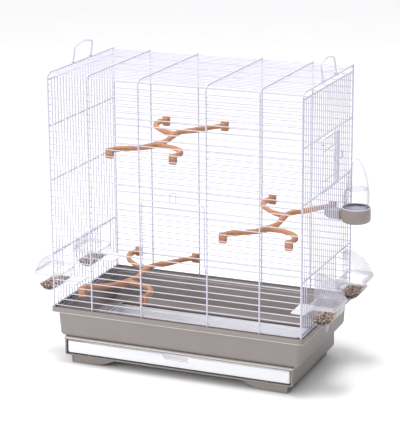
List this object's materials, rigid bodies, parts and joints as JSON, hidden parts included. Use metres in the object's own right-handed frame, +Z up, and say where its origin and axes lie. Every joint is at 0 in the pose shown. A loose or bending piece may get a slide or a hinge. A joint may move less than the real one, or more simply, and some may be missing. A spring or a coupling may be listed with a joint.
{
  "type": "bird cage",
  "caption": "Rectangular wire cage for small birds on a moulded tub with a pull-out drawer, hung feeders, a bottle drinker and branched perches.",
  "frame": {"origin": "on the floor plane that the feet stand on, under the middle of the cage", "axes": "+Z up, -Y towards the front with the large door, +X towards the cage's right side as seen from the front"},
  "size_m": [0.6892, 0.3282, 0.6786],
  "materials": {
    "white_wire": "gloss powder coat",
    "taupe_plastic": "fine satin",
    "white_plastic": "satin",
    "clear_plastic": "clear",
    "perch_plastic": "fine satin, bark brown",
    "cup_plastic": "satin"
  },
  "bodies": {
    "cage": {"front_grille": "white_wire", "roof_grille": "white_wire", "back_grille": "white_wire", "left_grille": "white_wire", "right_grille": "white_wire", "base_tub": "taupe_plastic", "drawer_housing": "taupe_plastic", "foot_front_left": "taupe_plastic", "foot_back_left": "taupe_plastic", "foot_front_right": "taupe_plastic", "foot_back_right": "taupe_plastic", "feeder_front_left_sill": "white_plastic", "feeder_back_left_sill": "white_plastic", "feeder_front_right_sill": "white_plastic", "feeder_back_right_sill": "white_plastic", "drinker_cup": "cup_plastic", "perch_top_branch": "perch_plastic", "perch_top_cap_front_left": "perch_plastic", "perch_top_cap_back_right": "perch_plastic", "perch_top_cap_back_left": "perch_plastic", "perch_top_cap_front_right": "perch_plastic", "perch_middle_branch": "perch_plastic", "perch_middle_cap_front_left": "perch_plastic", "perch_middle_cap_back_right": "perch_plastic", "perch_middle_cap_back_left": "perch_plastic", "perch_middle_cap_front_right": "perch_plastic", "perch_low_branch": "perch_plastic", "perch_low_cap_front_left": "perch_plastic", "perch_low_cap_back_right": "perch_plastic", "perch_low_cap_back_left": "perch_plastic", "perch_low_cap_front_right": "perch_plastic"},
    "drawer": {"drawer_tray": "white_plastic"},
    "front_door": {"front_door": "white_wire"},
    "side_door": {"side_door": "white_wire"},
    "side_door_latch": {"side_door_latch": "white_wire"},
    "left_handle": {"left_handle": "white_wire"},
    "right_handle": {"right_handle": "white_wire"},
    "feeder_front_left": {"feeder_front_left_bowl": "clear_plastic", "feeder_front_left_hood": "clear_plastic"},
    "feeder_back_left": {"feeder_back_left_bowl": "clear_plastic", "feeder_back_left_hood": "clear_plastic"},
    "feeder_front_right": {"feeder_front_right_bowl": "clear_plastic", "feeder_front_right_hood": "clear_plastic"},
    "feeder_back_right": {"feeder_back_right_bowl": "clear_plastic", "feeder_back_right_hood": "clear_plastic"},
    "drinker_bottle": {"drinker_bottle": "clear_plastic"},
    "left_clip": {"left_clip": "white_wire"},
    "right_clip": {"right_clip": "white_wire"}
  },
  "joints": [
    {"name": "drawer_slide", "type": "slide", "parent": "cage", "child": "drawer", "axis": [0, -1, 0], "range_m": [0, 0.22]},
    {"name": "front_door_hinge", "type": "hinge", "parent": "cage", "child": "front_door", "pos_m": [0, -0.15465, 0.2438], "axis": [1, 0, 0], "range_deg": [0, 150]},
    {"name": "side_door_hinge", "type": "hinge", "parent": "cage", "child": "side_door", "pos_m": [0.28345, -0.04205, 0.46327], "axis": [0, 0, -1], "range_deg": [0, 110]},
    {"name": "side_door_latch_slide", "type": "slide", "parent": "side_door", "child": "side_door_latch", "axis": [0, -1, 0], "range_m": [0, 0.016]},
    {"name": "left_handle_hinge", "type": "hinge", "parent": "cage", "child": "left_handle", "pos_m": [-0.28, 0, 0.635], "axis": [0, -1, 0], "range_deg": [-70, 100]},
    {"name": "right_handle_hinge", "type": "hinge", "parent": "cage", "child": "right_handle", "pos_m": [0.28, 0, 0.635], "axis": [0, 1, 0], "range_deg": [-70, 100]},
    {"name": "feeder_front_left_tilt", "type": "hinge", "parent": "cage", "child": "feeder_front_left", "pos_m": [-0.27935, -0.09158, 0.16551], "axis": [0, -1, 0], "range_deg": [0, 45]},
    {"name": "feeder_back_left_tilt", "type": "hinge", "parent": "cage", "child": "feeder_back_left", "pos_m": [-0.27935, 0.09158, 0.16551], "axis": [0, -1, 0], "range_deg": [0, 45]},
    {"name": "feeder_front_right_tilt", "type": "hinge", "parent": "cage", "child": "feeder_front_right", "pos_m": [0.27935, -0.09158, 0.16551], "axis": [0, 1, 0], "range_deg": [0, 45]},
    {"name": "feeder_back_right_tilt", "type": "hinge", "parent": "cage", "child": "feeder_back_right", "pos_m": [0.27935, 0.09158, 0.16551], "axis": [0, 1, 0], "range_deg": [0, 45]},
    {"name": "drinker_bottle_lift", "type": "slide", "parent": "cage", "child": "drinker_bottle", "axis": [0, 0, 1], "range_m": [0, 0.045]},
    {"name": "left_clip_hinge", "type": "hinge", "parent": "cage", "child": "left_clip", "pos_m": [-0.28, -0.01308, 0.12848], "axis": [0, 1, 0], "range_deg": [0, 70]},
    {"name": "right_clip_hinge", "type": "hinge", "parent": "cage", "child": "right_clip", "pos_m": [0.28, -0.01308, 0.12848], "axis": [0, -1, 0], "range_deg": [0, 70]}
  ]
}
